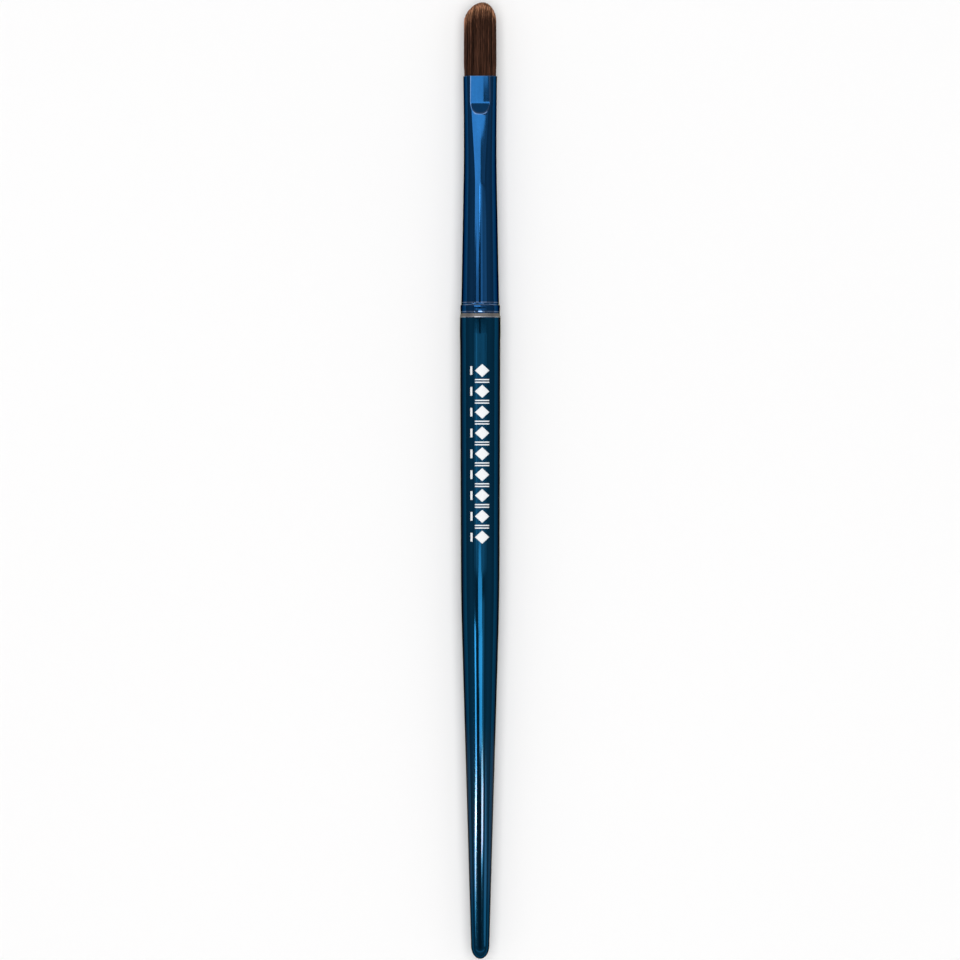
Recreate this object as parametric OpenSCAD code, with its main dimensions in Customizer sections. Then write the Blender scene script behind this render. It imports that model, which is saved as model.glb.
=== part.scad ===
// Lip brush: a turned, lacquered handle, a drawn metal ferrule crimped flat at
// its mouth, and a domed tuft of hair held by resin. The brush lies on a table
// with its tuft towards +Y and the flat of the ferrule facing up.
// Every part is drawn upright on its own axis, from the tail end at 0 upwards,
// and laid down last. All sizes are in millimetres.

/* [Handle] */
// Visible length of the handle, from its tail end to the ferrule
handle_length = 118.1; // [100:0.1:140]
// Length of the thick collar behind the ferrule
collar_length = 3.4; // [1:0.1:8]
// Height of the collar above the barrel
collar_height = 0.04; // [0.01:0.01:0.5]
// Length over which the collar runs down into the barrel
run_out_length = 0.9; // [0.4:0.1:3]
// Length of the bevel in front of the collar
bevel_length = 0.7; // [0.2:0.1:1.5]
// Height of the collar above the handle's shoulder
bevel_height = 0.13; // [0.05:0.01:0.8]
// Width of the shoulder's edge that shows around the ferrule
shoulder_edge_width = 0.015; // [0.005:0.005:0.1]
// Distance from the tail end to the belly, where the barrel turns into the tail
belly_distance = 65.7; // [40:0.1:80]
// How far the barrel tapers down to the belly on each side
barrel_taper_depth = 0.16; // [0:0.01:0.6]
// Length of the soft curve at the belly
belly_curve_length = 14; // [6:0.5:30]
// Diameter of the tail where its round end begins
tail_d = 3.34; // [2.4:0.02:5]
// Length of the round end
tail_cap_length = 2.4; // [1.2:0.1:4]

/* [Tenon] */
// Length of the tenon inside the ferrule
tenon_length = 15; // [8:0.5:18]
// Length of the chamfer at the end of the tenon
chamfer_length = 0.6; // [0.2:0.1:1.2]

/* [Ferrule] */
// Length of the ferrule
ferrule_length = 43.4; // [42:0.1:60]
// Thickness of the drawn tube
wall = 0.25; // [0.2:0.01:0.3]
// Outer diameter of the cone just in front of the bead
cone_base_d = 6.93; // [6.2:0.01:9]
// Outer diameter that the cone has at its mouth before it is crimped
cone_mouth_d = 5.41; // [4.8:0.01:6.2]
// Length of the bead
bead_length = 1.75; // [1.4:0.05:3]
// Height of the bead above the cone
bead_height = 0.15; // [0.08:0.01:0.2]
// Length of the bead's rounded edges
bead_edge_length = 0.35; // [0.15:0.05:0.5]
// Height of the bead above the ferrule's back end
back_end_depth = 0.03; // [0.01:0.01:0.08]
// Radius of the lip's rounded edges
lip_r = 0.1; // [0.05:0.01:0.1]

/* [Crimp] */
// How much wider the crimp makes the mouth
spread_width = 0.77; // [0.4:0.01:1]
// Length over which the round tube becomes flat
flatten_length = 17.2; // [14:0.1:22]
// How deep each flat is pressed into the oval at the mouth
mouth_press_depth = 0.445; // [0.2:0.005:0.6]
// How deep each flat is pressed into the oval at its crease
crease_press_depth = 0.47; // [0.2:0.005:0.6]
// Distance from the mouth to the crease
crease_distance = 4.6; // [3:0.1:6]
// Length of the half-moon ramp behind each crease
ramp_length = 2.4; // [1.4:0.1:4]

/* [Hair] */
// Length of hair that stands out of the ferrule
hair_length = 13.5; // [8:0.1:20]
// How much wider than the bore of the mouth the tuft becomes at its belly
belly_spread_width = 0.34; // [0.1:0.02:1]
// How much thicker than the bore of the mouth the tuft becomes at its belly
belly_spread_thickness = 0.22; // [0:0.02:1]
// Length over which the hair spreads out of the mouth
flare_length = 0.5; // [0.3:0.1:2]
// Length of the domed end
dome_length = 3.85; // [2:0.05:6]
// Thickness of the tuft just before its tip
tip_thickness = 1.3; // [0.8:0.1:2]
// How far the crown of the dome leans to one side
crown_offset = 0.42; // [0:0.02:0.6]
// Number of locks around the tuft
lock_count = 46; // [20:1:52]
// Depth of the grooves between the locks
groove_depth = 0.1; // [0.02:0.01:0.16]
// Distance over which the ends of the locks stagger on the dome
stagger_length = 0.2; // [0:0.02:0.3]
// Length of hair held inside the ferrule
root_length = 11; // [9:0.5:12]

/* [Resin] */
// Length of the resin plug behind the hair roots
resin_length = 4; // [2:0.5:6]
// Clearance between parts that are glued together
glue_gap = 0.03; // [0.02:0.01:0.05]

/* [Hidden] */

$fn = 96;
// Steps in the ferrule's section: each half of a side's fan, the stretch from
// there to a flat's corner, and the flat
FAN_STEPS = 7;
CORNER_STEPS = 7;
FLAT_STEPS = 4;
// Angle out to which the fan keeps its place along the whole ferrule
FAN_ANGLE = 40;
// Steps in the rounded edges, the tail's cap and the belly's curve
ARC_STEPS = 3;
CAP_STEPS = 8;
BLEND_STEPS = 6;
// Points on each lock of hair: one in the groove and the rest on the crest
LOCK_STEPS = 3;
// Angle of the section at which a flat has shrunk away
NO_FLAT = 86;
// How softly the flattening sets in: 1 is straight
FLATTEN_EASE = 1.4;
// How full the half-moon ramp is: 1 is a straight cut, less has a rounder edge
RAMP_BOW = 0.5;
// Share of the gain in width that the tube loses in thickness, which keeps its girth
GIRTH_SHARE = 0.7;
// Width and thickness of the tuft where the dome begins, as a share of the belly's
DOME_WIDTH = 0.985;
DOME_THICKNESS = 0.84;
// Place of the tuft's belly, as a share of the way from the mouth to the dome
HAIR_BELLY = 0.45;
// Turn from one lock to the next in the pattern that staggers them
GOLDEN_TURN = 137.5;
// Rings of the dome, the angle at which it closes, and how they crowd there
DOME_STEPS = 9;
DOME_END = 86;
DOME_CROWDING = 1.5;

shoulder = handle_length;
bead_front = shoulder + bead_length;
mouth = shoulder + ferrule_length;
tip = mouth + hair_length;
round_station = mouth - flatten_length;
crease = mouth - crease_distance;
ramp_foot = crease - ramp_length;
root = mouth - root_length;
dome_station = tip - dome_length;
hair_belly = mix(mouth, dome_station, HAIR_BELLY);
collar_front = shoulder - bevel_length;
collar_back = collar_front - collar_length;
barrel_front = collar_back - run_out_length;
overall_length = tip + stagger_length / 2;

base_r = cone_base_d / 2;
bead_r = base_r + bead_height;
back_end_r = bead_r - back_end_depth;
shoulder_r = back_end_r + shoulder_edge_width;
collar_r = shoulder_r + bevel_height;
barrel_r = collar_r - collar_height;
belly_r = barrel_r - barrel_taper_depth;
tail_r = tail_d / 2;
bond = wall + glue_gap;
hair_a = half_width(mouth) - wall + belly_spread_width / 2;
hair_b = half_flat(mouth) - wall + belly_spread_thickness / 2;

// Value that runs evenly from a at u = 0 to b at u = 1
function mix(a, b, u) = a + (b - a) * u;

// Radius of the cone at station s, before the crimp
function cone_r(s) = mix(cone_base_d, cone_mouth_d, (s - bead_front) / (mouth - bead_front)) / 2;

// How far the crimp has flattened the tube at station s, from 0 to 1
function flattened(s) = pow(max(0, (s - round_station) / flatten_length), FLATTEN_EASE);

// Half width of the tube, and half the thickness its oval would have without flats
function half_width(s) = cone_r(s) + spread_width / 2 * flattened(s);
function half_oval(s) = cone_r(s) - GIRTH_SHARE * spread_width / 2 * flattened(s);

// Half distance between the flats, which are pressed in from the mouth back to
// the crease, and from there run out in a ramp
function half_flat(s) =
    half_oval(s) - (s >= crease
        ? mix(crease_press_depth, mouth_press_depth, (s - crease) / crease_distance)
        : crease_press_depth * pow(max(0, 1 - (crease - s) / ramp_length), RAMP_BOW));

// Angles along a side arc from corner to corner: the fan, and a stretch at each
// end that follows the corner
function side_angles(corner) =
    let (stretch = [for (i = [0:CORNER_STEPS]) mix(corner, FAN_ANGLE, i / CORNER_STEPS)])
    concat(
        [for (t = stretch) -t],
        [for (i = [1 - FAN_STEPS:FAN_STEPS - 1]) FAN_ANGLE * i / FAN_STEPS],
        [for (i = [0:CORNER_STEPS]) stretch[CORNER_STEPS - i]]
    );

// Points turned half round the axis
function half_turn(points) = [for (p = points) [-p[0], -p[1], p[2]]];

// Section of the tube at station s, shrunk by inset: two side arcs of an
// ellipse joined by two flats
function tube_section(s, inset = 0) =
    let (
        a = half_width(s) - inset,
        b = half_oval(s) - inset,
        flat = min(half_flat(s) - inset, b * sin(NO_FLAT)),
        corner = asin(flat / b),
        chord = a * cos(corner),
        side = [for (t = side_angles(corner)) [a * cos(t), b * sin(t), s]],
        top = [for (i = [1:FLAT_STEPS - 1]) [mix(chord, -chord, i / FLAT_STEPS), flat, s]]
    )
    concat(side, top, half_turn(side), half_turn(top));

arc_angles = [for (i = [0:ARC_STEPS]) 90 * i / ARC_STEPS];

// Stations along the crimp. They crowd towards the foot of the ramp, so that
// the half-moon edge comes out round.
crimp_stations = concat(
    [for (i = [0:5]) mix(round_station, ramp_foot, i / 5)],
    [for (i = [1:6]) mix(ramp_foot, crease, pow(i / 6, 2))],
    [mix(crease, mouth, 0.5)]
);

// Side faces between n_rings rings of n points each. A closed skin also joins
// the last ring to the first.
function side_faces(n_rings, n, closed = false) =
    [for (r = [0:n_rings - (closed ? 1 : 2)], i = [0:n - 1])
        let (j = (i + 1) % n, low = r * n, high = (r + 1) % n_rings * n)
        each [
            [low + i, high + j, low + j],
            [low + i, high + i, high + j]
        ]];

function middle(ring) = [for (axis = [0:2]) [for (p = ring) p[axis]] * [for (p = ring) 1] / len(ring)];

// Solid skinned over a stack of rings, each end closed by a fan
module loft(rings) {
    n = len(rings[0]);
    top = (len(rings) - 1) * n;
    centre = len(rings) * n;
    polyhedron(
        points = concat(
            [for (ring = rings) each ring],
            [middle(rings[0]), middle(rings[len(rings) - 1])]
        ),
        faces = concat(
            side_faces(len(rings), n),
            [for (i = [0:n - 1]) [centre, i, (i + 1) % n]],
            [for (i = [0:n - 1]) [centre + 1, top + (i + 1) % n, top + i]]
        ),
        convexity = 6
    );
}

// Tube skinned over rings that run up its outside and down its inside
module sleeve(rings) {
    polyhedron(
        points = [for (ring = rings) each ring],
        faces = side_faces(len(rings), len(rings[0]), closed = true),
        convexity = 6
    );
}

// Lays an upright part on the table, resting on the collar
module lay_down() {
    translate([0, -overall_length / 2, collar_r]) rotate([-90, 0, 0]) children();
}

// Curve from the tail's taper into the barrel: a parabola that touches both
function belly_curve() =
    let (
        reach = belly_curve_length / 2,
        tail_side = [
            mix(belly_r, tail_r, reach / (belly_distance - tail_cap_length)),
            belly_distance - reach
        ],
        turn = [belly_r, belly_distance],
        barrel_side = [
            mix(belly_r, barrel_r, reach / (barrel_front - belly_distance)),
            belly_distance + reach
        ]
    )
    [for (i = [0:BLEND_STEPS])
        let (u = i / BLEND_STEPS)
        mix(mix(tail_side, turn, u), mix(turn, barrel_side, u), u)];

// One turned piece: round tail, taper, barrel, collar, bevel and tenon
module handle() {
    tenon_end = shoulder + tenon_length;
    chamfer = tenon_end - chamfer_length;
    color([0.02, 0.2, 0.3]) lay_down() rotate_extrude()
        polygon(concat(
            [for (i = [0:CAP_STEPS])
                let (t = 90 * i / CAP_STEPS)
                [tail_r * sin(t), tail_cap_length * (1 - cos(t))]],
            belly_curve(),
            [
                [barrel_r, barrel_front],
                [collar_r, collar_back],
                [collar_r, collar_front],
                [shoulder_r, shoulder],
                [cone_r(shoulder) - bond, shoulder],
                [cone_r(chamfer) - bond, chamfer],
                [cone_r(tenon_end) - bond - chamfer_length / 2, tenon_end],
                [0, tenon_end]
            ]
        ));
}

// Round ring of the ferrule at station s, brought from the cone to radius r
function round_ring(s, r) = tube_section(s, cone_r(s) - r);

// Ring on the rounded lip, at a rise from 0 at the foot of the rounding to 1 at the mouth
function lip_ring(inset, rise) =
    [for (p = tube_section(mouth - lip_r, inset)) [p[0], p[1], mouth - lip_r * (1 - rise)]];

// One drawn tube, skinned from its back end up the outside, over the lip and
// down the inside. The bead is pressed outwards, so the bore has its groove.
module ferrule() {
    color([0.05, 0.38, 0.68]) lay_down() sleeve(concat(
        [for (t = arc_angles)
            round_ring(shoulder + bead_edge_length * (1 - cos(t)), mix(back_end_r, bead_r, sin(t)))],
        [for (t = arc_angles)
            round_ring(bead_front - bead_edge_length * (1 - sin(t)), mix(base_r, bead_r, cos(t)))],
        [for (s = crimp_stations) tube_section(s)],
        [for (t = arc_angles) lip_ring(lip_r * (1 - cos(t)), sin(t))],
        [for (t = arc_angles) lip_ring(wall - lip_r * (1 - sin(t)), cos(t))],
        [for (i = [1:len(crimp_stations)]) tube_section(crimp_stations[len(crimp_stations) - i], wall)],
        [
            round_ring(bead_front, base_r - wall),
            round_ring(bead_front - bead_edge_length, bead_r - wall),
            round_ring(shoulder + bead_edge_length, bead_r - wall),
            round_ring(shoulder, back_end_r - wall)
        ]
    ));
}

// Ring of locks: an ellipse cut off at the flats, with a groove between each
// two locks. Each lock may stand forward or back by up to half of stagger.
function lock_ring(s, a, b, flat, depth, lean = 0, stagger = 0) =
    [for (i = [0:lock_count * LOCK_STEPS - 1])
        let (
            lock = floor(i / LOCK_STEPS),
            t = 360 * i / (lock_count * LOCK_STEPS),
            groove = i % LOCK_STEPS == 0 ? depth : 0,
            y = (b - groove) * sin(t)
        )
        [
            (a - groove) * cos(t) + lean,
            max(groove - flat, min(flat - groove, y)),
            s + stagger / 2 * sin(lock * GOLDEN_TURN)
        ]];

// Ring of locks inside the ferrule, bonded to its wall
function held_ring(s, depth) =
    lock_ring(s, half_width(s) - bond, half_oval(s) - bond, half_flat(s) - bond, depth);

// Ring of locks outside the ferrule, where nothing flattens the hair
function free_ring(s, share) =
    let (b = hair_b * share)
    lock_ring(s, hair_a * share, b, b, groove_depth);

// Ring of the dome at an angle from 0 at its foot to 90 at the crown: an
// ellipse seen from the flat side, a wedge with a rounded edge seen from the side
function dome_ring(t) =
    let (
        rise = sin(t),
        a = hair_a * DOME_WIDTH * cos(t),
        wedge = mix(hair_b * DOME_THICKNESS, tip_thickness / 2, rise),
        b = min(a, wedge * sqrt(cos(t)))
    )
    lock_ring(
        dome_station + dome_length * rise, a, b, b, groove_depth * cos(t),
        crown_offset * rise * rise, stagger_length * rise
    );

// Steps up the dome, closer together towards the crown
dome_angles = [for (i = [0:DOME_STEPS]) DOME_END * (1 - pow(1 - i / DOME_STEPS, DOME_CROWDING))];

module hair_tuft() {
    color([0.24, 0.16, 0.12]) lay_down()
        loft(concat(
            [held_ring(root, 0)],
            [for (s = [crease, mouth]) held_ring(s, groove_depth / 2)],
            [free_ring(mouth + flare_length, 0.99), free_ring(hair_belly, 1)],
            [for (t = dome_angles) dome_ring(t)]
        ));
}

// Plug of hardened resin that holds the hair roots
module root_resin() {
    color([0.75, 0.6, 0.3]) lay_down()
        loft([for (i = [0:4]) tube_section(root - resin_length * (1 - i / 4), bond)]);
}

handle();
ferrule();
hair_tuft();
root_resin();
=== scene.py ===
"""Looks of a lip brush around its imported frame, laid out as a Blender add-on."""

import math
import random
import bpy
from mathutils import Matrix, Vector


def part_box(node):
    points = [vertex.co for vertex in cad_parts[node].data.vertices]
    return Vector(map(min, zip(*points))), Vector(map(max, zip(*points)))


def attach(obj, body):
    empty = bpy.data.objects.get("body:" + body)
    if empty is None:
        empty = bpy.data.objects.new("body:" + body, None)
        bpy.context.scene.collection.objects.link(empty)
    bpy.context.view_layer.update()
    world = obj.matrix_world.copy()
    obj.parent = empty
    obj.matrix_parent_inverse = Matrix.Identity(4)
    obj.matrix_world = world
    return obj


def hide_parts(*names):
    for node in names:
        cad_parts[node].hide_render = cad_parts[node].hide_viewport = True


bl_info = {
    "name": "Lip Brush",
    "version": (1, 0, 0),
    "blender": (4, 5, 0),
    "location": "View3D > Sidebar > Lip Brush",
    "description": "Builds a lip brush: lacquered handle, crimped ferrule and tuft of hair",
    "category": "Add Mesh",
}

import bmesh
import bpy
from bpy.props import (
    FloatProperty,
    FloatVectorProperty,
    IntProperty,
    PointerProperty,
)

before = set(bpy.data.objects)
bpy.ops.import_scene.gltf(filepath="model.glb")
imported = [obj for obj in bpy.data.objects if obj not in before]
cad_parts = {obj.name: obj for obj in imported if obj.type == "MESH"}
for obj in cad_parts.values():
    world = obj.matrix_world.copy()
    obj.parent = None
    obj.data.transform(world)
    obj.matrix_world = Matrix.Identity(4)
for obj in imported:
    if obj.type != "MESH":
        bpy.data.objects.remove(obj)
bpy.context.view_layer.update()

# The brush lies along Y. Stations are measured from the tail end of its handle.
HANDLE_LOW, HANDLE_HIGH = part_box("handle")
TAIL = HANDLE_LOW.y
AXIS = (HANDLE_LOW.z + HANDLE_HIGH.z) / 2

# Turn from one hair or lock to the next, which spreads them evenly over the tuft
GOLDEN_ANGLE = math.radians(137.508)

# Where a hair has its points, from 0 at its root to 1 at its tip, and how thick it is there
HAIR_PLACES = (0.0, 0.04, 0.14, 0.3, 0.48, 0.66, 0.82, 0.93, 0.985, 1.0)
HAIR_TAPER = (0.0, 1.0, 1.0, 1.0, 1.0, 1.0, 1.0, 0.9, 0.75, 0.0)

# A bevelled curve with a resolution of 0 has this many points around it
HAIR_SIDES = 4

# Tint that the lacquer and the metal take on where they are seen at a low angle
EDGE_TINT = (0.28, 0.25, 0.06, 1.0)


# Sizes and colours


def length(name, description, default):
    """A length in metres, with enough digits for parts of a millimetre."""
    return FloatProperty(
        name=name, description=description, default=default, min=0.0, precision=6, unit="LENGTH"
    )


def share(name, description, default):
    """A plain number, such as a share or an exponent."""
    return FloatProperty(name=name, description=description, default=default, min=0.0)


def colour(name, description, default):
    """A linear colour."""
    return FloatVectorProperty(
        name=name,
        description=description,
        default=default,
        size=3,
        min=0.0,
        max=1.0,
        subtype="COLOR",
    )


class HandleSizes(bpy.types.PropertyGroup):
    """Sizes of the turned handle."""

    length: length("Length", "Visible length, from the tail end to the ferrule", 0.1181)
    tail_radius: length("Tail radius", "Radius where the round end begins", 0.00167)
    cap_length: length("Cap length", "Length of the round end", 0.0024)
    belly_radius: length("Belly radius", "Radius where the barrel turns into the tail", 0.00353)
    belly_station: length("Belly station", "Distance from the tail end to the belly", 0.0657)
    belly_curve: length("Belly curve", "Length of the soft curve at the belly", 0.014)
    barrel_radius: length("Barrel radius", "Radius of the barrel behind the collar", 0.00369)
    barrel_station: length(
        "Barrel station", "Distance from the tail end to the barrel's front", 0.1131
    )
    collar_radius: length("Collar radius", "Radius of the thick collar", 0.00373)
    collar_back: length("Collar back", "Distance from the tail end to the collar's back", 0.1140)
    collar_front: length(
        "Collar front", "Distance from the tail end to the collar's front", 0.1174
    )
    shoulder_radius: length("Shoulder radius", "Radius of the edge against the ferrule", 0.0036)
    tenon_length: length("Tenon length", "Length of the tenon inside the ferrule", 0.015)
    tenon_play: length("Tenon play", "Wall of the ferrule and the gap around the tenon", 0.00028)


class FerruleSizes(bpy.types.PropertyGroup):
    """Sizes of the drawn and crimped ferrule, measured from its back end."""

    length: length("Length", "Length from the bead to the mouth", 0.0434)
    wall: length("Wall", "Thickness of the tube", 0.00025)
    base_radius: length("Base radius", "Radius of the cone in front of the bead", 0.003465)
    mouth_radius: length("Mouth radius", "Radius of the mouth before it is crimped", 0.002705)
    bead_length: length("Bead length", "Length of the bead", 0.00175)
    bead_height: length("Bead height", "Height of the bead above the cone", 0.00015)
    back_depth: length("Back depth", "Height of the bead above the back end", 0.00003)
    spread: length("Spread", "How much the crimp widens the mouth on each side", 0.000385)
    flatten_length: length("Flatten length", "Length over which the round tube turns oval", 0.0172)
    flatten_ease: share("Flatten ease", "How softly the flattening sets in", 1.4)
    girth_share: share("Girth share", "Share of the spread that the thickness loses", 0.7)
    mouth_press: length("Mouth press", "Depth of the flat at the mouth", 0.000445)
    crease_press: length("Crease press", "Depth of the flat at its crease", 0.00052)
    crease_distance: length("Crease distance", "Distance from the mouth to the crease", 0.0046)
    ramp_length: length("Ramp length", "Length of the half-moon ramp behind the crease", 0.0026)
    ramp_bow: share("Ramp bow", "How round the half-moon is", 1.8)
    soft_press: length("Soft press", "Depth of the soft hollowing behind the ramp", 0.00034)
    soft_length: length("Soft length", "Length over which the soft hollowing sets in", 0.0125)
    soft_reach: length("Soft reach", "Half width of the soft hollowing", 0.0023)
    crown: length("Crown", "How far the flat's edges lie below its middle", 0.00007)
    edge_round: length("Edge round", "Softness of the flat's edges", 0.00006)
    lip_round: length("Lip round", "Radius of the lip's edges", 0.00006)


class HairSizes(bpy.types.PropertyGroup):
    """Sizes of the hair tuft."""

    length: length("Length", "Length of hair outside the ferrule", 0.0135)
    half_width: length("Half width", "Half of the tuft's width at its belly", 0.00299)
    half_thickness: length("Half thickness", "Half of the tuft's thickness at its belly", 0.00185)
    dome_length: length("Dome length", "Length of the domed end", 0.00385)
    dome_width: share(
        "Dome width", "Width where the dome begins, as a share of the belly's", 0.985
    )
    dome_thickness: share(
        "Dome thickness", "Thickness where the dome begins, as a share of the belly's", 0.84
    )
    tip_half_thickness: length("Tip half thickness", "Half of the thickness at the tip", 0.00065)
    crown_offset: length("Crown offset", "How far the crown leans to one side", 0.00042)
    strand_radius: length("Strand radius", "Radius of one hair", 0.00004)
    strand_count: IntProperty(
        name="Strand count", description="Number of hairs", default=4600, min=100
    )
    lock_count: IntProperty(
        name="Lock count", description="Number of locks they gather in", default=260, min=10
    )


class BrushColours(bpy.types.PropertyGroup):
    """Colours of the brush and its stage."""

    lacquer: colour("Lacquer", "Metallic lacquer of the handle", (0.0026, 0.039, 0.087))
    bare_wood: colour("Bare wood", "Unlacquered bevel in front of the collar", (0.15, 0.142, 0.14))
    blue_metal: colour("Blue metal", "Anodised ferrule", (0.0064, 0.044, 0.123))
    hair_root: colour("Hair root", "Hair near the ferrule", (0.058, 0.0235, 0.0132))
    hair_tip: colour("Hair tip", "Ends of the hairs", (0.66, 0.31, 0.17))
    print_white: colour("Print white", "Ornament printed on the handle", (0.82, 0.85, 0.87))
    resin: colour("Resin", "Adhesive inside the ferrule", (0.52, 0.32, 0.08))
    floor: colour("Floor", "Floor under the brush", (0.96, 0.96, 0.96))


class StageSizes(bpy.types.PropertyGroup):
    """Sizes of the stage."""

    floor_half: length("Floor half width", "Half width of the floor", 3.0)
    camera_height: length("Camera height", "Height of the camera above the brush's axis", 1.0)
    view_height: length("View height", "Height of the picture at the brush's axis", 0.1757)
    lamp_height: length("Lamp height", "Height of the lamps above the floor", 0.6)


# Materials


class Wire:
    """A shader socket that takes part in Python expressions."""

    def __init__(self, nodes, socket):
        self.nodes = nodes
        self.socket = socket

    def _math(self, operation, first, second):
        return self.nodes.node("ShaderNodeMath", {"operation": operation}, {0: first, 1: second})

    def __add__(self, other):
        return self._math("ADD", self, other)

    __radd__ = __add__

    def __sub__(self, other):
        return self._math("SUBTRACT", self, other)

    def __rsub__(self, other):
        return self._math("SUBTRACT", other, self)

    def __mul__(self, other):
        return self._math("MULTIPLY", self, other)

    __rmul__ = __mul__


class Nodes:
    """A node tree that grows node by node."""

    def __init__(self, tree):
        self.tree = tree

    def node(self, kind, settings, sockets, output=0):
        """Adds a node: its settings first, then the values or links of its sockets."""
        node = self.tree.nodes.new(kind)
        for name, value in settings.items():
            if name == "stops":
                ramp = node.color_ramp
                for place, tone in value[1:-1]:
                    ramp.elements.new(place).color = tone
                ends = (ramp.elements[0], ramp.elements[-1])
                for element, (place, tone) in zip(ends, (value[0], value[-1])):
                    element.position, element.color = place, tone
            else:
                setattr(node, name, value)
        for name, value in sockets.items():
            self.feed(node.inputs[name], value)
        return Wire(self, node.outputs[output])

    def feed(self, socket, value):
        """Links a wire to a socket, or sets the socket's own value."""
        if isinstance(value, Wire):
            self.tree.links.new(value.socket, socket)
        else:
            socket.default_value = value


class Finish(Nodes):
    """One procedural material."""

    def __init__(self, name):
        self.material = bpy.data.materials.new(name)
        self.material.use_nodes = True
        super().__init__(self.material.node_tree)
        self.shader = self.tree.nodes["Principled BSDF"]

    def set(self, **values):
        """Sets the shader's sockets: underscores in a name stand for spaces."""
        for name, value in values.items():
            self.feed(self.shader.inputs[name.replace("_", " ")], value)

    def place(self):
        """The object's own coordinates."""
        return self.node("ShaderNodeTexCoord", {}, {}, "Object")

    def along(self, vector):
        """The coordinate that runs along the brush."""
        return self.node("ShaderNodeSeparateXYZ", {}, {0: vector}, "Y")

    def noise(self, vector, scale, stretch=(1.0, 1.0, 1.0), detail=2.0):
        """Smooth noise from 0 to 1 on stretched coordinates."""
        mapped = self.node("ShaderNodeMapping", {}, {"Vector": vector, "Scale": stretch})
        return self.node(
            "ShaderNodeTexNoise", {}, {"Vector": mapped, "Scale": scale, "Detail": detail}
        )

    def steps(self, value, low, high, first=0.0, last=1.0):
        """Leads smoothly from one value to another while a value crosses a span."""
        return self.node(
            "ShaderNodeMapRange",
            {"clamp": True, "interpolation_type": "SMOOTHSTEP"},
            {"Value": value, "From Min": low, "From Max": high, "To Min": first, "To Max": last},
        )

    def line(self, value, at, half):
        """A soft line, 1 where a value passes a place and 0 beyond half a width."""
        away = (value - at) * (1.0 / half)
        return self.steps(away * away, 0.1, 1.0, 1.0, 0.0)

    def blend(self, factor, first, second):
        """Mixes two colours."""
        return self.node(
            "ShaderNodeMix",
            {"data_type": "RGBA"},
            {0: factor, 6: opaque(first), 7: opaque(second)},
            2,
        )

    def tint(self, tone, strength):
        """Brightens or darkens a colour by a number."""
        return self.node(
            "ShaderNodeVectorMath",
            {"operation": "SCALE"},
            {0: tone if isinstance(tone, Wire) else tuple(tone), "Scale": strength},
        )

    def bump(self, height, distance):
        """A normal for a height from 0 to 1, which stands for a distance in metres."""
        return self.node("ShaderNodeBump", {}, {"Height": height, "Distance": distance})


def opaque(tone):
    """A colour with its alpha, or the wire that carries it."""
    return tone if isinstance(tone, Wire) else (*tone, 1.0)


def lacquer_finish(colours, sizes):
    """Dark metallic lacquer with a bare bevel in front of the collar."""
    finish = Finish("metallic_lacquer")
    vector = finish.place()
    y = finish.along(vector)
    grain = finish.noise(vector, 1.0, (2200.0, 26.0, 2200.0), 3.0)
    cloud = finish.noise(vector, 1.0, (260.0, 40.0, 260.0))
    flake = finish.noise(vector, 14000.0, detail=0.0)
    sheen = finish.tint(colours.lacquer, 0.72 + grain * 0.34 + cloud * 0.2 + flake * 0.12)
    fibres = finish.noise(vector, 1.0, (9000.0, 900.0, 9000.0), 3.0)
    wood = finish.tint(colours.bare_wood, 0.6 + fibres * 0.8)

    # The lacquer ends in a ragged edge at the collar's front, with a pale painted highlight along
    # it
    edge = TAIL + sizes.collar_front
    ragged = y + (finish.noise(vector, 2600.0, detail=3.0) - 0.5) * 0.00012
    bare = finish.steps(ragged, edge - 0.00002, edge + 0.00004)
    rim_highlight = finish.line(ragged, edge, 0.0001) * 0.6

    # The clear coat is thicker towards the tail
    thick_at, thick_half = TAIL + 0.0263, 0.018
    coat = finish.line(y, thick_at, thick_half) * 0.14 + 0.02
    finish.set(
        Base_Color=finish.blend(rim_highlight, finish.blend(bare, sheen, wood), (0.42, 0.43, 0.46)),
        Metallic=1.0 - bare * 0.35,
        Roughness=finish.steps(bare, 0.0, 1.0, 0.0, 0.24) + 0.05 + cloud * 0.015,
        Specular_Tint=EDGE_TINT,
        Coat_Weight=(1.0 - bare) * coat,
        Coat_Roughness=0.03,
        Coat_IOR=1.5,
        Normal=finish.bump(finish.noise(vector, 900.0, detail=1.0), 0.0000005),
    )
    return finish.material


def metal_finish(colours, sizes, handle):
    """Polished aluminium with a blue anodised skin and fine drawing lines."""
    finish = Finish("blue_anodised_metal")
    vector = finish.place()
    y = finish.along(vector)
    lines = finish.noise(vector, 1.0, (9000.0, 120.0, 9000.0))
    mottle = finish.noise(vector, 1800.0, detail=3.0)
    skin = finish.tint(colours.blue_metal, 0.78 + lines * 0.22 + mottle * 0.22)

    # Pale lines on the lip, on the bead's edges and along the flats: partly the skin rubbed thin,
    # partly painted highlights where these edges catch the light
    back = TAIL + handle.length
    mouth = back + sizes.length
    rubbed_and_highlit = finish.steps(y, mouth - 0.00012, mouth - 0.00002, 0.0, 0.35)
    for station in (0.00028, sizes.bead_length - 0.0002, sizes.bead_length + 0.00022):
        rubbed_and_highlit = rubbed_and_highlit + finish.line(y, back + station, 0.00011) * 0.42
    edges = finish.node("ShaderNodeAttribute", {"attribute_name": "worn"}, {}, "Fac")
    worn = (rubbed_and_highlit + edges * 0.24) * (0.6 + mottle * 0.8)
    finish.set(
        Base_Color=finish.blend(worn, skin, (0.26, 0.33, 0.46)),
        Metallic=1.0,
        Roughness=0.03 + lines * 0.03 + mottle * 0.02,
        Specular_Tint=EDGE_TINT,
        Normal=finish.bump(lines * 0.6 + mottle * 0.4, 0.0000005),
    )
    return finish.material


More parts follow.
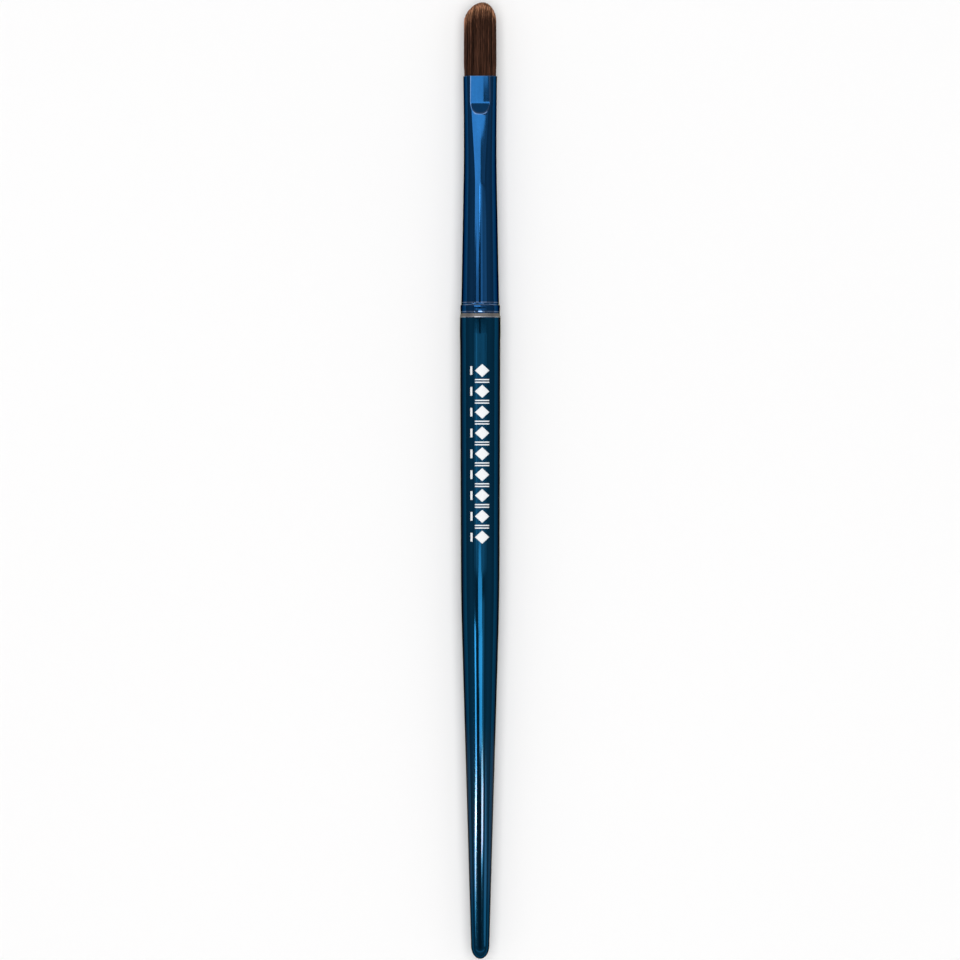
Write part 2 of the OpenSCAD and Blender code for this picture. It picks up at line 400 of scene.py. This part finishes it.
def hair_finish(colours):
    """Dark brown hair, lighter and tan towards the tips, each strand in its own tone, with painted
    shade and painted light in its tone and tips.
    """
    finish = Finish("brown_hair")
    tone = finish.node("ShaderNodeAttribute", {"attribute_name": "tone"}, {}, "Fac")
    tip = finish.node("ShaderNodeAttribute", {"attribute_name": "tip"}, {}, "Fac")
    warm = finish.blend(tip, colours.hair_root, colours.hair_tip)
    streak = finish.noise(finish.place(), 1.0, (11000.0, 420.0, 11000.0))
    streak = finish.steps(streak, 0.3, 0.7, 0.45, 1.5)
    finish.set(
        Base_Color=finish.tint(warm, ((0.2 + tone * 1.5) * (1.0 - tip) + tip * 0.95) * streak),
        Roughness=0.45 - tip * 0.08,
        Specular_IOR_Level=0.05,
    )
    return finish.material


def core_finish(colours):
    """Shadowed hair deep inside the tuft."""
    finish = Finish("shadowed_hair")
    lines = finish.noise(finish.place(), 1.0, (12000.0, 300.0, 12000.0))
    finish.set(
        Base_Color=finish.tint(colours.hair_root, 0.25 + lines * 0.5),
        Roughness=0.7,
        Normal=finish.bump(lines, 0.00003),
    )
    return finish.material


def print_finish(colours):
    """White screen print with a slightly uneven film."""
    finish = Finish("white_print")
    film = finish.noise(finish.place(), 5000.0, detail=3.0)
    finish.set(
        Base_Color=finish.tint(colours.print_white, 0.92 + film * 0.14),
        Roughness=0.4 + film * 0.15,
        Normal=finish.bump(film, 0.000004),
    )
    return finish.material


def resin_finish(colours):
    """Hardened amber adhesive with faint clouds."""
    finish = Finish("amber_resin")
    cloud = finish.noise(finish.place(), 900.0, detail=3.0)
    finish.set(
        Base_Color=finish.tint(colours.resin, 0.75 + cloud * 0.5),
        Roughness=0.18 + cloud * 0.12,
        Normal=finish.bump(cloud, 0.00002),
    )
    return finish.material


def floor_finish(colours):
    """Plain pale floor."""
    finish = Finish("pale_floor")
    cloud = finish.noise(finish.place(), 6.0)
    finish.set(
        Base_Color=finish.tint(colours.floor, 0.99 + cloud * 0.02),
        Roughness=0.75,
        Specular_IOR_Level=0.2,
    )
    return finish.material


# Shapes


def mix(a, b, u):
    """Value that runs evenly from a at u = 0 to b at u = 1."""
    return a + (b - a) * u


def eased(u):
    """Smooth step from 0 to 1."""
    u = min(max(u, 0.0), 1.0)
    return u * u * (3.0 - 2.0 * u)


def soft_min(a, b, width):
    """The lower of two values, with the turn between them rounded."""
    h = min(max(0.5 + 0.5 * (b - a) / width, 0.0), 1.0)
    return mix(b, a, h) - width * h * (1.0 - h)


def lathe(outline, steps, closed=False, cuts=None):
    """Turns an outline of radii and stations about the brush's axis.

    The cuts say into how many more parts each edge of the outline is cut, by its number.
    """
    bm = bmesh.new()
    points = [bm.verts.new((r, TAIL + s, AXIS)) for r, s in outline]
    ends = points[1:] + (points[:1] if closed else [])
    edges = [bm.edges.new(pair) for pair in zip(points, ends)]
    for index, count in (cuts or {}).items():
        bmesh.ops.subdivide_edges(bm, edges=[edges[index]], cuts=count)
    bmesh.ops.spin(
        bm,
        geom=bm.verts[:] + bm.edges[:],
        cent=(0.0, 0.0, AXIS),
        axis=(0.0, 1.0, 0.0),
        angle=math.tau,
        steps=steps,
        use_merge=True,
    )
    bmesh.ops.remove_doubles(bm, verts=bm.verts, dist=1e-7)
    bmesh.ops.recalc_face_normals(bm, faces=bm.faces)
    return bm


def round_ring(bm, radius, station, width, segments):
    """Rounds the ring of edges at a radius and a station."""
    near = 2e-7
    ring = [
        e
        for e in bm.edges
        if all(
            abs(v.co.y - TAIL - station) < near
            and abs(math.hypot(v.co.x, v.co.z - AXIS) - radius) < near
            for v in e.verts
        )
    ]
    if not ring:
        raise ValueError(f"there is no ring of edges at radius {radius} and station {station}")
    bmesh.ops.bevel(
        bm, geom=ring, offset=width, affect="EDGES", segments=segments, profile=0.5, material=-1
    )


def piece(name, mesh, material, slot, *nodes):
    """Makes a mesh a smooth piece of the brush, which stands for the CAD nodes given."""
    mesh.materials.clear()
    mesh.materials.append(material)
    mesh.shade_smooth()
    obj = bpy.data.objects.new(name, mesh)
    bpy.context.scene.collection.objects.link(obj)
    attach(obj, "root")
    if nodes:
        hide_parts(*nodes)
    return obj


def mesh_of(bm, name):
    """Writes a bmesh to a new mesh."""
    mesh = bpy.data.meshes.new(name)
    bm.to_mesh(mesh)
    bm.free()
    return mesh


def handle_outline(p, cone):
    """Outline of the handle from its tail to its tenon, and the cuts that its edges get."""
    cap_steps, belly_steps = 16, 12
    outline = []
    for i in range(cap_steps + 1):
        t = math.pi / 2 * i / cap_steps
        outline.append((p.tail_radius * math.sin(t), p.cap_length * (1.0 - math.cos(t))))
    reach = p.belly_curve / 2
    behind = (
        mix(p.belly_radius, p.tail_radius, reach / (p.belly_station - p.cap_length)),
        p.belly_station - reach,
    )
    turn = (p.belly_radius, p.belly_station)
    ahead = (
        mix(p.belly_radius, p.barrel_radius, reach / (p.barrel_station - p.belly_station)),
        p.belly_station + reach,
    )
    for i in range(belly_steps + 1):
        u = i / belly_steps
        outline.append(
            tuple(mix(mix(a, b, u), mix(b, c, u), u) for a, b, c in zip(behind, turn, ahead))
        )

    # The edges are the taper, the barrel, the step up to the collar, the collar and the bevel
    barrel = len(outline)
    cuts = {cap_steps: 24, barrel - 1: 16, barrel: 1, barrel + 1: 6, barrel + 2: 2}
    tenon = p.length + p.tenon_length
    chamfer_length, chamfer_depth = 0.0006, 0.0003
    outline += [
        (p.barrel_radius, p.barrel_station),
        (p.collar_radius, p.collar_back),
        (p.collar_radius, p.collar_front),
        (p.shoulder_radius, p.length),
        (cone(p.length) - p.tenon_play, p.length),
        (cone(tenon - chamfer_length) - p.tenon_play, tenon - chamfer_length),
        (cone(tenon) - p.tenon_play - chamfer_depth, tenon),
        (0.0, tenon),
    ]
    return outline, cuts


def cone_radius(p, t):
    """Radius of the ferrule's cone before it is crimped."""
    return mix(p.base_radius, p.mouth_radius, (t - p.bead_length) / (p.length - p.bead_length))


def flattening(p, t):
    """How far the tube has turned oval, from 0 to 1."""
    along = (t - p.length) / p.flatten_length + 1.0
    return max(0.0, along) ** p.flatten_ease


def crimp(bm, p, back):
    """Presses a round tube oval, and its mouth flat on both sides, as a crimping die does."""
    crease = p.length - p.crease_distance
    foot = crease - p.ramp_length
    sharp_edge, wear_and_highlight_width, wear_and_highlight_onset = 0.06, 0.00003, 0.0003
    worn = bm.verts.layers.float.new("worn")
    for v in bm.verts:
        t = v.co.y - back
        oval = flattening(p, t)
        soft = min(max((t - foot) / p.soft_length + 1.0, 0.0), 1.0) ** 1.2
        if oval == 0.0 and soft == 0.0:
            continue
        x, z = v.co.x, v.co.z - AXIS
        angle = math.atan2(z, x)
        cone = cone_radius(p, t)
        inset = cone - math.hypot(x, z)
        wide = (cone + p.spread * oval - inset) * math.cos(angle)
        thick = cone - p.girth_share * p.spread * oval - inset
        high = thick * abs(math.sin(angle))
        reach = min(abs(wide) / p.soft_reach, 1.0)
        high -= p.soft_press * soft * (1.0 - reach * reach) ** 2
        if t > foot:
            rise = (1.0 - max((crease - t) / p.ramp_length, 0.0) ** 2) ** p.ramp_bow
            press = mix(p.soft_press, p.crease_press, rise)
            if t > crease:
                press = mix(p.crease_press, p.mouth_press, (t - crease) / p.crease_distance)
            flat = thick - press - p.crown * (wide / p.soft_reach) ** 2
            edge = p.edge_round * mix(sharp_edge, 1.0, eased((t - foot) / p.ramp_length * 2.0))
            # Pale line along the flat's edge: partly wear, partly a painted highlight
            v[worn] = max(1.0 - abs(flat - high) / wear_and_highlight_width, 0.0)
            v[worn] *= eased((t - foot) / wear_and_highlight_onset)
            high = soft_min(high, flat, edge)
        v.co.x = wide
        v.co.z = AXIS + math.copysign(high, z)


def tuft_half(p, s):
    """Half width and half thickness of the tuft at a distance from the mouth."""
    mouth_width, belly_width, tip_width, mouth_thickness = 0.945, 0.995, 0.9, 0.93
    swell = 0.0005
    dome = p.length - p.dome_length
    belly = 0.45 * dome
    if s < belly:
        u = eased(s / swell)
        return (
            p.half_width * mix(mouth_width, belly_width, u),
            p.half_thickness * mix(mouth_thickness, 1.0, u),
        )
    if s < dome:
        u = (s - belly) / (dome - belly)
        return (
            p.half_width * mix(belly_width, p.dome_width, u),
            p.half_thickness * mix(1.0, p.dome_thickness, u),
        )
    u = min((s - dome) / p.dome_length, 1.0)
    return (
        p.half_width * p.dome_width * mix(1.0, tip_width, u * u),
        mix(p.half_thickness * p.dome_thickness, p.tip_half_thickness, u),
    )


def rounded(angle, fullness):
    """Point on a rounded rectangle-like oval; a fullness of 2 is a true ellipse."""
    c, s = math.cos(angle), math.sin(angle)
    return (
        math.copysign(abs(c) ** (2.0 / fullness), c),
        math.copysign(abs(s) ** (2.0 / fullness), s),
    )


def strand_path(p, chance, radius, angle, pull):
    """Points of one hair from inside the ferrule to its tip, and its length outside."""
    root, face_drop, stagger, mean_stagger, stray = -0.0014, 0.00045, 0.00026, 0.00016, 0.000025
    mouth_fullness, tip_fullness, fullness_reach = 2.9, 2.1, 0.004
    mouth_gather, tip_gather = 0.4, 0.55
    dome = p.length - p.dome_length
    side = rounded(angle, 2.2)[0] * radius
    tip = dome + p.dome_length * math.sqrt(max(0.0, 1.0 - side * side))
    tip -= face_drop * (radius * math.sin(angle)) ** 2
    tip -= abs(chance.gauss(0.0, stagger)) - mean_stagger
    drift = (chance.gauss(0.0, stray), chance.gauss(0.0, stray))
    points = []
    for f in HAIR_PLACES:
        s = mix(root, tip, f)
        wide, thick = tuft_half(p, s)
        fullness = mix(mouth_fullness, tip_fullness, eased(s / fullness_reach))
        across, up = rounded(angle, fullness)
        gather = mix(mouth_gather, tip_gather, eased(s / p.length))
        across = mix(across * radius, pull[0], gather)
        up = mix(up * radius, pull[1], gather)
        lean = p.crown_offset * max(0.0, (s - dome) / p.dome_length) ** 2
        loose = f * f
        points.append(
            (wide * across + lean + drift[0] * loose, s, thick * up + drift[1] * loose)
        )
    return points, tip


def comb(p, name, strands, mouth):
    """Makes hairs as the splines of one bevelled curve, and turns them into a mesh.

    Each strand is its points, its length outside the ferrule, its tone from dark to light,
    how pale its tip is, and the length over which the tip turns pale.
    """
    curve = bpy.data.curves.new(name, "CURVE")
    curve.dimensions = "3D"
    curve.bevel_depth = p.strand_radius
    curve.bevel_resolution = 0
    tones, tips = [], []
    for points, tip, tone, glow, fade in strands:
        spline = curve.splines.new("POLY")
        spline.points.add(len(points) - 1)
        for i, (x, s, z) in enumerate(points):
            spline.points[i].co = (x, mouth + s, AXIS + z, 1.0)
            spline.points[i].radius = HAIR_TAPER[i]
            tones += [tone] * HAIR_SIDES
            tips += [eased(1.0 - (tip - s) / fade) ** 1.5 * glow] * HAIR_SIDES
    strand = bpy.data.objects.new(name, curve)
    mesh = bpy.data.meshes.new_from_object(strand)
    if len(mesh.vertices) != len(tones):
        raise ValueError(f"{name} has {len(mesh.vertices)} points, not {len(tones)}")
    for label, values in (("tone", tones), ("tip", tips)):
        mesh.attributes.new(label, "FLOAT", "POINT").data.foreach_set("value", values)
    bpy.data.objects.remove(strand)
    bpy.data.curves.remove(curve)
    bm = bmesh.new()
    bm.from_mesh(mesh)
    bmesh.ops.remove_doubles(bm, verts=bm.verts, dist=1e-8)
    bm.to_mesh(mesh)
    bm.free()
    return mesh


# Operators


class BRUSH_OT_handle(bpy.types.Operator):
    """Turn the handle and lacquer it"""

    bl_idname = "brush.handle"
    bl_label = "Handle"

    def execute(self, context):
        scene = context.scene
        p, ferrule = scene.brush_handle, scene.brush_ferrule
        outline, cuts = handle_outline(p, lambda s: cone_radius(ferrule, s - p.length))
        bm = lathe(outline, 144, cuts=cuts)
        round_ring(bm, p.collar_radius, p.collar_front, 0.00006, 4)
        round_ring(bm, p.shoulder_radius, p.length, 0.00004, 2)
        material = lacquer_finish(scene.brush_colours, p)
        mesh = mesh_of(bm, "turned_handle")
        piece("turned_handle", mesh, material, "lacquered_wood", "handle")
        return {"FINISHED"}


class BRUSH_OT_ferrule(bpy.types.Operator):
    """Draw the ferrule, press its bead and crimp its mouth"""

    bl_idname = "brush.ferrule"
    bl_label = "Ferrule"

    def execute(self, context):
        scene = context.scene
        p, handle = scene.brush_ferrule, scene.brush_handle
        back = handle.length
        crease = p.length - p.crease_distance
        foot = crease - p.ramp_length

        # The bead's radii: at its back end, at its edges, in its middle and in its groove
        bead = p.base_radius + p.bead_height
        back_end, edge, crown = bead - p.back_depth, bead - 0.00001, bead + 0.000015
        groove = p.base_radius - 0.00003

        # Where it begins to rise, is full, begins to fall, is lowest and meets the cone
        rise, full, fall = 0.00014, 0.00034, p.bead_length - 0.00026
        low, cone = p.bead_length - 0.00006, p.bead_length + 0.0001

        # Each station: its distance from the back end, its radius or None on the cone, and
        # the cuts of the edge that follows
        stations = [
            (0.0, back_end, 0),
            (rise, back_end, 0),
            (full, edge, 2),
            (0.00075, crown, 2),
            (0.00115, crown, 2),
            (fall, edge, 0),
            (low, groove, 0),
            (cone, None, 0),
            (p.bead_length + 0.0002, None, 2),
            (p.bead_length + 0.0005, None, 8),
            (p.length - p.flatten_length - 0.006, None, 28),
            (foot - 0.0002, None, 3),
            (foot, None, 30),
            (crease - 0.00004, None, 1),
            (crease, None, 1),
            (crease + 0.00004, None, 14),
            (p.length - 0.0003, None, 3),
            (p.length, None, 0),
        ]
        outer = [(cone_radius(p, t) if r is None else r, back + t) for t, r, _ in stations]
        inner = [
            (cone_radius(p, t) - p.wall if r is None else r - p.wall, back + t)
            for t, r, _ in stations
            if r is None or t == 0.0
        ]
        cuts = {i: n for i, (_, _, n) in enumerate(stations) if n}
        inner_cuts = 4
        for i in range(len(inner) - 1):
            cuts[len(outer) + i] = inner_cuts
        bm = lathe(outer + inner[::-1], 360, closed=True, cuts=cuts)
        mouth = back + p.length
        round_ring(bm, cone_radius(p, p.length), mouth, p.lip_round, 4)
        round_ring(bm, cone_radius(p, p.length) - p.wall, mouth, p.lip_round, 2)
        for t, radius, width in (
            (rise, back_end, 0.00005),
            (full, edge, 0.0001),
            (fall, edge, 0.0001),
            (low, groove, 0.00007),
            (cone, cone_radius(p, cone), 0.00006),
        ):
            round_ring(bm, radius, back + t, width, 4)
        round_ring(bm, back_end, back, 0.00004, 2)
        crimp(bm, p, TAIL + back)
        material = metal_finish(scene.brush_colours, p, handle)
        mesh = mesh_of(bm, "crimped_ferrule")
        piece("crimped_ferrule", mesh, material, "blue_metal", "ferrule")
        return {"FINISHED"}


class BRUSH_OT_hair(bpy.types.Operator):
    """Fill the ferrule with hair and shape the tuft"""

    bl_idname = "brush.hair"
    bl_label = "Hair"

    def execute(self, context):
        scene = context.scene
        p, handle, ferrule = scene.brush_hair, scene.brush_handle, scene.brush_ferrule
        base = handle.length + ferrule.length
        chance = random.Random(7)

        # Each lock: its place across and up, and how light its hairs are. The exponents here
        # and below crowd locks and hairs a little towards the outside.
        pulls = []
        for i in range(p.lock_count):
            radius, angle = ((i + 0.5) / p.lock_count) ** 0.4, i * GOLDEN_ANGLE
            pulls.append((radius * math.cos(angle), radius * math.sin(angle), chance.random()))

        # Painted shade makes the deep hairs darker than the outer ones, and painted light makes
        # the outermost sides lighter, and the left side lighter than the right one, with paler
        # tips that fade over a longer reach
        groups = {"upper": [], "lower": []}
        for i in range(p.strand_count):
            radius = ((i + 0.5) / p.strand_count) ** 0.42
            angle = i * GOLDEN_ANGLE + chance.uniform(-0.03, 0.03)
            across, up = radius * math.cos(angle), radius * math.sin(angle)
            pull = min(pulls, key=lambda q: (q[0] - across) ** 2 + (q[1] - up) ** 2)
            points, tip = strand_path(p, chance, radius, angle, pull)
            light = pull[2]
            # Painted shade on the deep hairs, painted light on the outermost sides and on the left
            outer = eased((radius - 0.78) / 0.22)
            side = eased((abs(across) - 0.9) / 0.1)
            right = (across + 1.0) / 2
            tone = chance.gauss(0.09 + 0.62 * light, 0.2) * mix(0.3, 1.0, outer) + 0.3 * side
            tone = min(max(tone + 0.12 * max(-across, 0.0), 0.0), 1.0)
            glow = chance.uniform(0.25, 1.0) * (0.4 + 1.2 * light)
            glow = min(glow * mix(1.3, 1.15, right), 1.0)
            fade = chance.uniform(0.0006, 0.0034) * mix(1.4, 0.55, right)
            groups["upper" if up > 0 else "lower"].append((points, tip, tone, glow, fade))
        material = hair_finish(scene.brush_colours)
        for name, strands in groups.items():
            mesh = comb(p, f"hair_{name}", strands, TAIL + base)
            piece(f"hair_{name}", mesh, material, "brown_hair", "hair_tuft")

        # The core is a smaller and shorter tuft in a dark colour of painted shade, which darkens
        # the gaps between the hairs
        root, shortfall, slimness, steps = -0.0016, 0.0009, 0.8, 24
        dome = p.length - p.dome_length
        outline = [(0.0, base + root)]
        for i in range(steps + 1):
            s = mix(root, p.length - shortfall, i / steps)
            drop = max(0.0, (s - dome) / (p.dome_length - shortfall))
            half = tuft_half(p, s)[0] * slimness * math.sqrt(1.0 - drop * drop)
            outline.append((half, base + s))
        bm = lathe(outline, 48)
        for v in bm.verts:
            wide, thick = tuft_half(p, v.co.y - TAIL - base)
            v.co.z = AXIS + (v.co.z - AXIS) * thick / wide
        material = core_finish(scene.brush_colours)
        piece("hair_core", mesh_of(bm, "hair_core"), material, "brown_hair", "hair_tuft")
        return {"FINISHED"}


class BRUSH_OT_ornament(bpy.types.Operator):
    """Print a plain white ornament of lozenges and bars on the barrel"""

    bl_idname = "brush.ornament"
    bl_label = "Ornament"

    # Stations of the first and the last lozenge, and how many there are
    FIRST, LAST, COUNT = 0.0772, 0.1076, 9

    # Width and length of each mark, and how far a bar lies from the middle of its pair
    LOZENGE, DASH, BAR = (0.0027, 0.0024), (0.00042, 0.0016), (0.0027, 0.00022)
    BAR_OFFSET = 0.00024

    # How far both rows are turned about the handle, in radians
    ROW_TURN, DASH_TURN = 0.1, -0.46

    # Thickness of the film, and how far it is lifted off the lacquer
    FILM, LIFT = 0.00002, 0.000012

    def stamp(self, bm, p, station, angle, size, turned=False):
        """Adds a small film, a lozenge if turned and else a bar, wrapped round the barrel."""
        across, along = size
        slope = (p.barrel_radius - p.belly_radius) / (p.barrel_station - p.belly_station)
        for v in bmesh.ops.create_grid(bm, x_segments=12, y_segments=12, size=0.5)["verts"]:
            x, y = v.co.x, v.co.y
            if turned:
                x, y = (x - y) / 2, (x + y) / 2
            y *= along
            radius = p.belly_radius + slope * (station + y - p.belly_station)
            turn = angle + across * x / radius
            v.co = (radius * math.sin(turn), TAIL + station + y, AXIS + radius * math.cos(turn))

    def execute(self, context):
        scene = context.scene
        p = scene.brush_handle
        bm = bmesh.new()
        pitch = (self.LAST - self.FIRST) / (self.COUNT - 1)
        for i in range(self.COUNT):
            station = self.FIRST + pitch * i
            self.stamp(bm, p, station, self.ROW_TURN, self.LOZENGE, True)
            self.stamp(bm, p, station, self.DASH_TURN, self.DASH)
            if i < self.COUNT - 1:
                for side in (-self.BAR_OFFSET, self.BAR_OFFSET):
                    self.stamp(bm, p, station + pitch / 2 + side, self.ROW_TURN, self.BAR)
        bmesh.ops.recalc_face_normals(bm, faces=bm.faces)
        bmesh.ops.solidify(bm, geom=bm.faces[:], thickness=self.FILM)
        for v in bm.verts:
            growth = 1.0 + self.LIFT / math.hypot(v.co.x, v.co.z - AXIS)
            v.co.x *= growth
            v.co.z = AXIS + (v.co.z - AXIS) * growth
        bmesh.ops.recalc_face_normals(bm, faces=bm.faces)
        material = print_finish(scene.brush_colours)
        piece("white_ornament", mesh_of(bm, "white_ornament"), material, "lacquered_wood")
        return {"FINISHED"}


class BRUSH_OT_resin(bpy.types.Operator):
    """Give the resin plug inside the ferrule its finish"""

    bl_idname = "brush.resin"
    bl_label = "Resin"

    def execute(self, context):
        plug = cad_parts["root_resin"]
        material = resin_finish(context.scene.brush_colours)
        if plug.material_slots:
            plug.material_slots[0].material = material
        else:
            plug.data.materials.append(material)
        return {"FINISHED"}


class BRUSH_OT_stage(bpy.types.Operator):
    """Set up the floor, the soft lamps, the world and the camera"""

    bl_idname = "brush.stage"
    bl_label = "Stage"

    # How bright the room is at each height, from 0 at the horizon to 1 overhead
    SKY = ((0.2, 0.4), (0.6, 0.54), (0.85, 0.4), (1.0, 0.14))

    # Each lamp: its centre across and along the brush, its size across and along it, all in
    # metres, its turn in degrees and its brightness
    LAMPS = {
        "tail_left": (-0.37, -0.1005, 0.13, 0.047, 0.0, 9.5),
        "tail_left_rise": (-0.375, -0.129, 0.13, 0.01, 0.0, 12.0),
        "tail_left_middle": (-0.47, -0.15, 0.165, 0.015, 8.5, 180.0),
        "tail_left_end": (-0.645, -0.176, 0.19, 0.026, 8.5, 75.0),
        "tail_left_tip": (-0.92, -0.2125, 0.36, 0.03, 7.5, 5.5),
        "tail_right_edge": (-0.0775, -0.0875, 0.045, 0.015, 0.0, 6.0),
        "tail_right": (0.045, -0.096, 0.2, 0.037, 0.0, 5.6),
        "tail_right_rise": (0.165, -0.1225, 0.12, 0.012, 0.0, 34.0),
        "tail_right_middle": (0.205, -0.138, 0.17, 0.019, 0.0, 66.0),
        "tail_right_fade": (0.215, -0.15, 0.17, 0.007, 0.0, 6.0),
        "tail_right_end": (1.1, -0.24, 1.1, 0.06, -8.0, 1.6),
        "tail_wide": (0.12, -0.085, 0.34, 0.06, 0.0, 1.0),
        "belly": (-0.005, -0.057, 0.25, 0.04, 0.0, 4.9),
        "belly_core": (-0.02, -0.0296, 0.15, 0.0148, 0.0, 3.4),
        "barrel": (0.02, -0.0005, 0.92, 0.073, 0.0, 0.48),
        "barrel_core": (0.0, -0.0005, 0.56, 0.073, 0.0, 0.55),
        "barrel_left": (-0.245, 0.0112, 0.11, 0.0686, 0.0, 0.75),
        "collar_left": (-0.245, 0.0408, 0.35, 0.0095, 0.0, 1.0),
        "collar_right": (0.225, 0.0408, 0.39, 0.0095, 0.0, 1.0),
        "cone_left": (-0.185, 0.0935, 0.19, 0.015, 0.0, 3.3),
        "cone_left_low": (-0.185, 0.079, 0.19, 0.014, 0.0, 1.5),
        "cone_front": (-0.185, 0.1115, 0.49, 0.021, 0.0, 3.5),
        "cone_glint": (-0.032, 0.104, 0.026, 0.018, 0.0, 14.0),
        "cone_right": (0.275, 0.0895, 0.49, 0.05, 0.0, 0.72),
        "cone_right_core": (0.1025, 0.0895, 0.115, 0.05, 0.0, 0.95),
        "ring_left": (-0.38, 0.264, 0.36, 0.06, 0.0, 3.4),
        "ring_right": (0.38, 0.264, 0.36, 0.06, 0.0, 3.4),
        "moon": (0.0, 0.285, 0.36, 0.15, 0.0, 0.5),
        "crimp": (-0.205, 0.15, 0.45, 0.056, 0.0, 3.8),
        "crimp_corner": (0.034, 0.149, 0.028, 0.008, 0.0, 3.0),
        "crimp_right": (0.2, 0.15, 0.34, 0.056, 0.0, 0.5),
        "crimp_wide": (-0.125, 0.194, 0.65, 0.032, 0.0, 4.4),
        "front": (0.0, 0.62, 2.4, 0.14, 0.0, 2.2),
        "back": (0.0, -0.6, 2.4, 0.14, 0.0, 1.0),
    }

    # Colours of the lamps that aren't white. The blue lacquer turns these warm ones white.
    WARM = {
        "tail_left_middle": (1.0, 0.29, 0.19),
        "tail_left_end": (1.0, 0.27, 0.18),
        "tail_right_rise": (1.0, 0.4, 0.28),
        "tail_right_middle": (1.0, 0.28, 0.19),
    }

    # Each lamp hangs this much higher than the one before, so no two lie in one plane
    LAMP_STEP = 0.0005

    # Height, width and brightness of the lamp that lights the surfaces without a highlight
    FILL = (1.3, 1.2, 2.9)

    # Shift of the camera, which sets the brush in the frame as in the photo
    CAMERA_SHIFT = (-0.000037, 0.00008)

    def lamp(self, name, place, width, depth, turn, brightness):
        """Hangs a rectangular lamp that faces down and isn't seen itself."""
        light = bpy.data.lights.new(name, "AREA")
        light.shape = "RECTANGLE"
        light.size, light.size_y = width, depth
        light.energy = brightness * math.pi * width * depth
        obj = bpy.data.objects.new(name, light)
        obj.location = place
        obj.rotation_euler = (0.0, 0.0, math.radians(turn))
        obj.visible_camera = False
        bpy.context.scene.collection.objects.link(obj)
        return obj

    def execute(self, context):
        scene = context.scene
        p = scene.brush_stage
        bm = bmesh.new()
        bmesh.ops.create_grid(bm, x_segments=8, y_segments=8, size=p.floor_half)
        floor = bpy.data.objects.new("floor", mesh_of(bm, "floor"))
        floor.data.materials.append(floor_finish(scene.brush_colours))
        scene.collection.objects.link(floor)

        height = p.lamp_height
        for name, (x, y, width, depth, turn, brightness) in self.LAMPS.items():
            strip = self.lamp(name, (x, y, height), width, depth, turn, brightness)
            strip.visible_diffuse = False
            strip.data.color = self.WARM.get(name, (1.0, 1.0, 1.0))
            height += self.LAMP_STEP
        height, width, brightness = self.FILL
        fill = self.lamp("fill", (0.0, 0.0, height), width, width, 0.0, brightness)
        fill.visible_glossy = False

        world = bpy.data.worlds.new("studio")
        world.use_nodes = True
        scene.world = world
        sky = Nodes(world.node_tree)
        place = sky.node("ShaderNodeTexCoord", {}, {}, "Generated")
        rise = sky.node("ShaderNodeSeparateXYZ", {}, {0: place}, "Z")
        stops = [(at, (tone, tone, tone, 1.0)) for at, tone in self.SKY]
        tone = sky.node("ShaderNodeValToRGB", {"stops": stops}, {0: rise})
        sky.feed(sky.tree.nodes["Background"].inputs["Color"], tone)

        camera = bpy.data.cameras.new("camera")
        camera.sensor_width = 36.0
        camera.lens = camera.sensor_width * p.camera_height / p.view_height
        camera.clip_start, camera.clip_end = 0.05, 20.0
        view = bpy.data.objects.new("camera", camera)
        view.location = (*self.CAMERA_SHIFT, AXIS + p.camera_height)
        scene.collection.objects.link(view)
        scene.camera = view
        scene.view_settings.view_transform = "Standard"
        return {"FINISHED"}


class BRUSH_PT_parts(bpy.types.Panel):
    """Sidebar panel that builds the brush part by part"""

    bl_idname = "BRUSH_PT_parts"
    bl_label = "Lip Brush"
    bl_space_type = "VIEW_3D"
    bl_region_type = "UI"
    bl_category = "Lip Brush"

    def draw(self, context):
        """Lists the operators, and below them the sizes and colours of each group."""
        for operator in OPERATORS:
            self.layout.operator(operator.bl_idname)
        for group in GROUPS:
            box = self.layout.box()
            box.label(text=group)
            values = getattr(context.scene, group)
            for name in values.bl_rna.properties.keys():
                if name not in ("rna_type", "name"):
                    box.prop(values, name)


GROUPS = {
    "brush_handle": HandleSizes,
    "brush_ferrule": FerruleSizes,
    "brush_hair": HairSizes,
    "brush_colours": BrushColours,
    "brush_stage": StageSizes,
}
OPERATORS = (
    BRUSH_OT_handle,
    BRUSH_OT_ferrule,
    BRUSH_OT_hair,
    BRUSH_OT_ornament,
    BRUSH_OT_resin,
    BRUSH_OT_stage,
)


def register():
    """Registers the groups, hangs them on the scene, and registers operators and panel."""
    for group in GROUPS.values():
        bpy.utils.register_class(group)
    for name, group in GROUPS.items():
        setattr(bpy.types.Scene, name, PointerProperty(type=group))
    for operator in OPERATORS:
        bpy.utils.register_class(operator)
    bpy.utils.register_class(BRUSH_PT_parts)


def unregister():
    """Takes back what register did, in the opposite order."""
    bpy.utils.unregister_class(BRUSH_PT_parts)
    for operator in reversed(OPERATORS):
        bpy.utils.unregister_class(operator)
    for name in GROUPS:
        delattr(bpy.types.Scene, name)
    for group in reversed(list(GROUPS.values())):
        bpy.utils.unregister_class(group)


def main():
    """Builds the brush and its stage."""
    register()
    bpy.ops.brush.handle()
    bpy.ops.brush.ferrule()
    bpy.ops.brush.hair()
    bpy.ops.brush.ornament()
    bpy.ops.brush.resin()
    bpy.ops.brush.stage()


if __name__ == "__main__":
    main()
